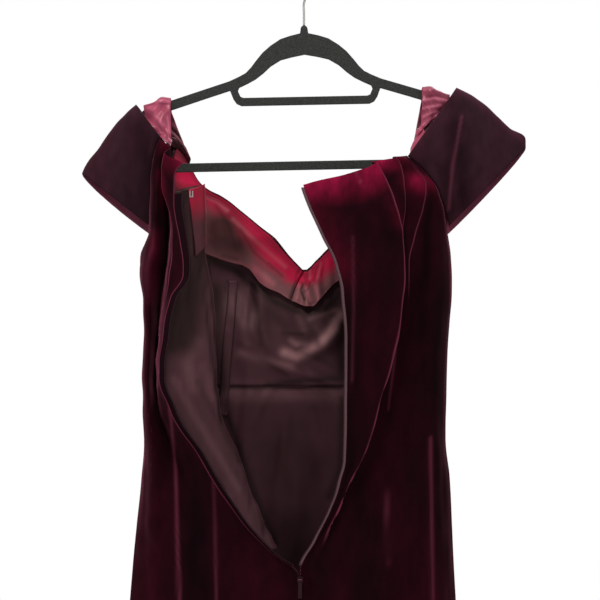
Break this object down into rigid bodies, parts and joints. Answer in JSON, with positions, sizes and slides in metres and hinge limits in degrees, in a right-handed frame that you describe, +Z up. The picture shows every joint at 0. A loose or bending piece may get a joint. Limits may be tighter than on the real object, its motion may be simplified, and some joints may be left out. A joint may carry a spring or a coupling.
{
  "type": "velvet maxi dress on hanger",
  "caption": "Full-length velvet gown with cap sleeves, a sweetheart neck and an open centre-back zip, hanging by satin straps on a flocked hanger.",
  "frame": {"origin": "the hang point: the underside of the crown of the hanger's hook, where a rod carries it", "axes": "+Z up, +Y towards the front of the dress, -Y towards its back with the zip, +X to the right as seen from the back"},
  "size_m": [0.556, 0.2022, 1.543],
  "materials": {
    "velvet": "velvet pile",
    "facing_satin": "satin",
    "strap_satin": "satin",
    "lining_satin": "satin",
    "zip_tape": "woven",
    "flock": "flocked",
    "steel": "polished",
    "zip_metal": "painted"
  },
  "bodies": {
    "dress": {"hanger_body": "flock", "hanger_hook": "steel", "front": "velvet", "back_left": "velvet", "back_right": "velvet", "sleeve_left": "velvet", "sleeve_right": "velvet", "strap_left": "strap_satin", "strap_right": "strap_satin", "lining_bodice_front": "lining_satin", "lining_skirt_front": "lining_satin", "lining_back_left": "lining_satin", "facing_front_left": "facing_satin", "facing_front_right": "facing_satin", "facing_back_left": "facing_satin", "boning_channel": "lining_satin", "zip_tape_left": "zip_tape", "zip_tape_right": "zip_tape", "zip_slider": "zip_metal", "neck_hook": "steel"},
    "pull": {"zip_pull": "zip_metal"}
  },
  "joints": [
    {"name": "zip_pull_tab", "type": "hinge", "parent": "dress", "child": "pull", "pos_m": [-0.005, -0.0566, -0.762], "axis": [-1, 0, 0], "range_deg": [0, 160]}
  ]
}
